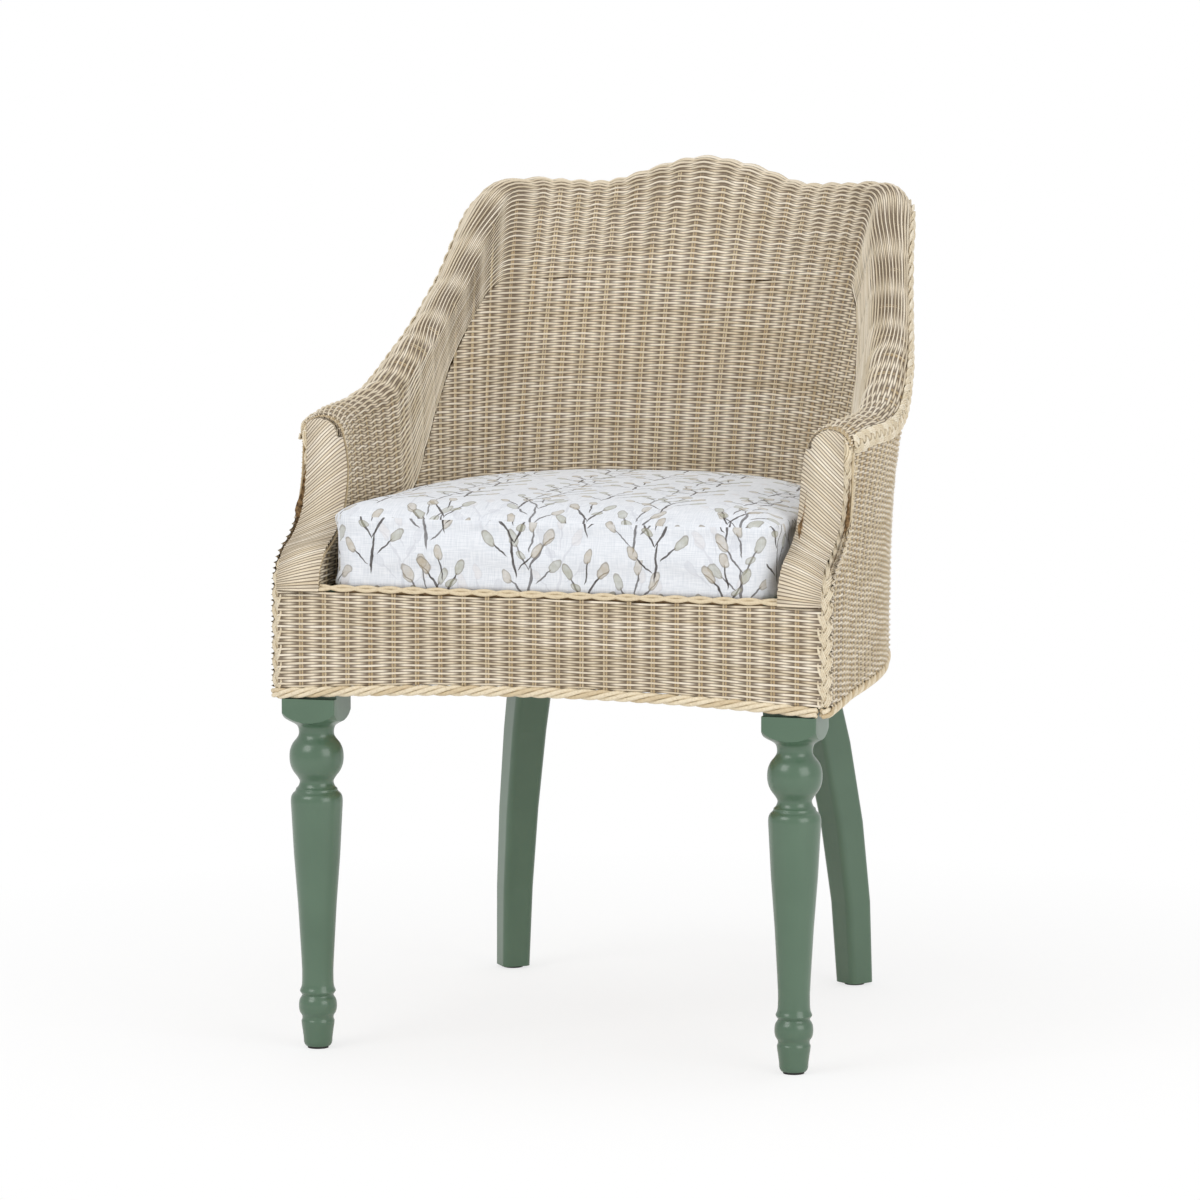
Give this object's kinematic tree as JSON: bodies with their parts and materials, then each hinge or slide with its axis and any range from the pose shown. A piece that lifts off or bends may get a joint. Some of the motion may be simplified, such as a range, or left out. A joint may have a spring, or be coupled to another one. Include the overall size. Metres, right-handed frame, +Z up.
{
  "type": "rattan armchair",
  "caption": "Woven rattan tub armchair with rolled edge, plaited borders, turned painted front legs, sabre rear legs and a loose boxed cushion.",
  "frame": {"origin": "on the floor, under the middle of the chair's bounding box", "axes": "+Z up, the front faces -Y, +X to the right of someone who looks at the front"},
  "size_m": [0.63, 0.6819, 0.912],
  "materials": {
    "rattan_weave": "satin",
    "pale_plait": "satin",
    "rattan_rod": "natural",
    "sage_paint": "satin paint on wood",
    "zinc_steel": "zinc plated",
    "glide_plastic": "matt",
    "printed_linen": "slub linen with a sprig print",
    "cushion_fill": "foam wrapped in wadding",
    "zip_tape": "woven tape",
    "zip_metal": "satin",
    "beech": "bare"
  },
  "bodies": {
    "frame": {"apron_front": "rattan_weave", "apron_top_border": "rattan_weave", "arm_front_left": "rattan_weave", "arm_front_right": "rattan_weave", "arm_post_left": "rattan_rod", "arm_post_right": "rattan_rod", "back_post_left": "rattan_rod", "back_post_right": "rattan_rod", "bottom_border_front": "pale_plait", "bottom_border_rear": "pale_plait", "corner_block_left": "beech", "corner_block_right": "beech", "corner_post_left": "rattan_rod", "corner_post_right": "rattan_rod", "crest_braid": "pale_plait", "crest_pole": "rattan_rod", "foot_glides": "glide_plastic", "front_braid_left": "pale_plait", "front_braid_right": "pale_plait", "front_leg_left": "sage_paint", "front_leg_right": "sage_paint", "inner_shell": "rattan_weave", "outer_skin": "rattan_weave", "rail_dowels": "beech", "rear_leg_bolts": "zinc_steel", "rear_leg_left": "sage_paint", "rear_leg_right": "sage_paint", "seat_rail_bent": "beech", "seat_rail_front": "beech", "seat_slat_1": "beech", "seat_slat_2": "beech", "seat_slat_3": "beech", "seat_slat_4": "beech", "seat_slat_5": "beech", "seat_slat_6": "beech", "side_post_left": "rattan_rod", "side_post_right": "rattan_rod", "skirt_hoop": "rattan_rod", "slat_cleat_left": "beech", "slat_cleat_right": "beech", "slat_screws": "zinc_steel"},
    "cushion": {"cushion_cover": "printed_linen", "cushion_foam": "cushion_fill", "zip_chain": "zip_tape"},
    "slider": {"zip_slider": "zip_metal"}
  },
  "joints": [
    {"name": "cushion_lift", "type": "slide", "parent": "frame", "child": "cushion", "axis": [0, 0, 1], "range_m": [0, 0.5]},
    {"name": "zip_slide", "type": "slide", "parent": "cushion", "child": "slider", "axis": [1, 0, 0], "range_m": [0, 0.12]}
  ]
}
